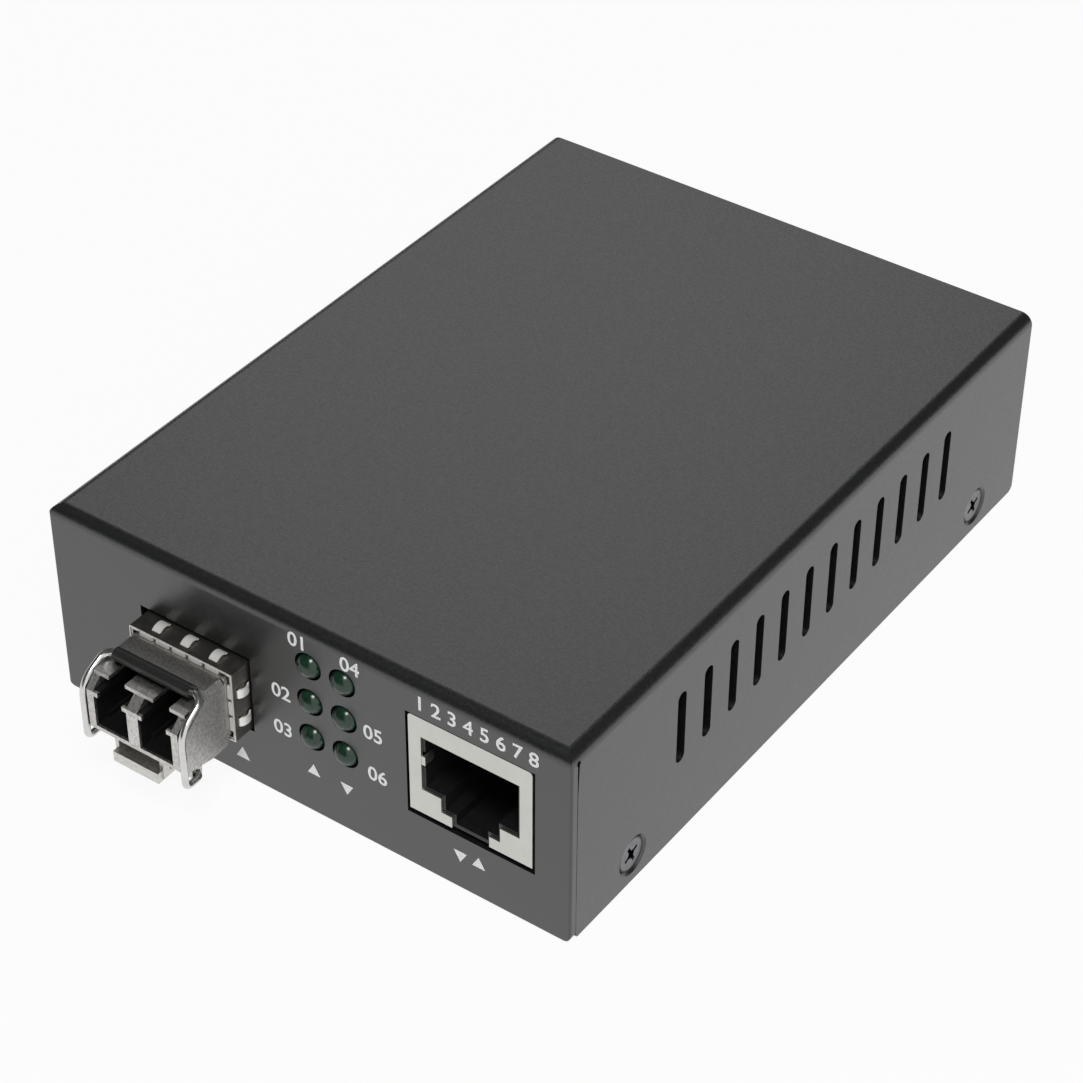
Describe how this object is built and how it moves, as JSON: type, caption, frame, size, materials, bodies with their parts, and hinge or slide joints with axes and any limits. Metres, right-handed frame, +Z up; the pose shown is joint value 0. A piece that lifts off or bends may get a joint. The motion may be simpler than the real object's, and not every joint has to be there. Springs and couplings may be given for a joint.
{
  "type": "fibre media converter",
  "caption": "Small fibre media converter in a folded steel case, with a plug-in fibre module and its wire bail, indicator lamps, an RJ45 socket, side vents and a DC socket behind.",
  "frame": {"origin": "middle of the case's underside", "axes": "+X to the right of the front panel, +Y to the back, +Z up; the front panel faces -Y"},
  "size_m": [0.07, 0.1063, 0.0263],
  "materials": {
    "case_paint": "fine textured matt charcoal paint",
    "screw_paint": "matt charcoal",
    "zinc": "dull zinc plate",
    "spring_steel": "bright tin plate",
    "cage_steel": "satin nickel",
    "die_cast": "satin nickel-plated zinc",
    "module_sheet": "satin nickel",
    "wire_steel": "bright nickel",
    "black_plastic": "satin moulded",
    "sleeve_plastic": "satin moulded",
    "lamp_green": "dark green diffused lens",
    "board_green": "solder mask",
    "gold_contact": "gold flash",
    "optic_steel": "turned steel",
    "chip_black": "moulded",
    "can_steel": "drawn can",
    "capacitor_sleeve": "shrink sleeve",
    "ferrite": "ferrite"
  },
  "bodies": {
    "chassis": {"top_cover": "case_paint", "base_tray": "case_paint", "cover_screws": "screw_paint", "board_standoffs": "zinc", "board_screws": "zinc", "circuit_board": "board_green", "rj45_shield": "spring_steel", "rj45_housing": "black_plastic", "rj45_contacts": "gold_contact", "led_holder": "black_plastic", "dc_jack_housing": "black_plastic", "dc_jack_pin": "zinc", "dc_jack_spring": "spring_steel", "cage_shell": "cage_steel", "cage_base": "cage_steel", "cage_spring_collar": "spring_steel", "module_connector": "black_plastic", "module_connector_contacts": "gold_contact", "converter_chip": "chip_black", "crystal": "can_steel", "power_inductor": "ferrite", "line_transformer": "chip_black", "power_chip": "chip_black", "led_1": "lamp_green", "led_2": "lamp_green", "led_3": "lamp_green", "led_4": "lamp_green", "led_5": "lamp_green", "led_6": "lamp_green", "capacitor_1": "capacitor_sleeve", "capacitor_2": "capacitor_sleeve", "capacitor_3": "capacitor_sleeve"},
    "transceiver": {"transceiver_housing": "die_cast", "transceiver_cover": "module_sheet", "transceiver_board": "board_green", "transmit_subassembly": "optic_steel", "receive_subassembly": "optic_steel", "latch_spring": "spring_steel"},
    "bail": {"bail_wire": "wire_steel", "bail_sleeve": "sleeve_plastic"},
    "latch": {"latch_lever": "module_sheet"}
  },
  "joints": [
    {"name": "module_slide", "type": "slide", "parent": "chassis", "child": "transceiver", "axis": [0, -1, 0], "range_m": [0, 0.052], "deforming": ["cage_base"]},
    {"name": "bail_swing", "type": "hinge", "parent": "transceiver", "child": "bail", "pos_m": [-0.01445, -0.0559, 0.00735], "axis": [1, 0, 0], "range_deg": [0, 90]},
    {"name": "latch_rocker", "type": "hinge", "parent": "transceiver", "child": "latch", "pos_m": [-0.01445, -0.0514, 0.0088], "axis": [1, 0, 0], "range_deg": [0, 5.5], "deforming": ["latch_spring"]}
  ],
  "couplings": [
    {"joint": "latch_rocker", "follows": "bail_swing", "ratio": 0.0611}
  ]
}
